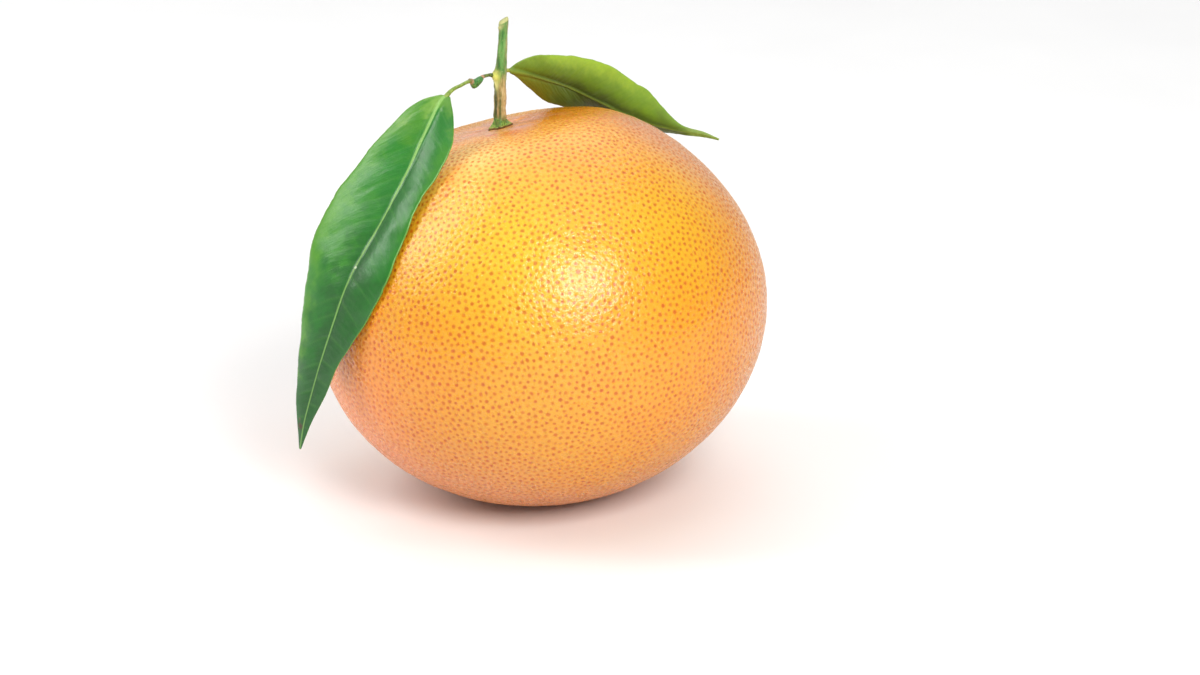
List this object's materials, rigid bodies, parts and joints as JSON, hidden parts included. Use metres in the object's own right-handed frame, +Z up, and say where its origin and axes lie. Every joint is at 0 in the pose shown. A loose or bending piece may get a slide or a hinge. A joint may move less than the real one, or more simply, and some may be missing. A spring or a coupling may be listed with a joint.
{
  "type": "grapefruit with stem and leaves",
  "caption": "Whole ripe grapefruit with its cut stem and leaves, leaning slightly and resting on a small flat spot on its underside.",
  "frame": {"origin": "centre of the small flat spot on the fruit's underside, on the surface that it rests on", "axes": "+Z up, away from the resting surface; -Y towards the fruit's front, where the longer leaf hangs; +X to the fruit's right, on the other side of the stem from that leaf"},
  "size_m": [0.1121, 0.1079, 0.1166],
  "materials": {
    "fruit": "satin",
    "calyx": "matte",
    "stem": "matte",
    "side_twig": "matte",
    "twig_bud": "matte",
    "left_petiole": "matte",
    "left_leaf": "satin",
    "right_petiole": "matte",
    "right_leaf": "matte"
  },
  "bodies": {
    "root": {"fruit": "fruit", "calyx": "calyx", "stem": "stem", "side_twig": "side_twig", "twig_bud": "twig_bud", "left_petiole": "left_petiole", "left_leaf": "left_leaf", "right_petiole": "right_petiole", "right_leaf": "right_leaf"}
  },
  "joints": []
}
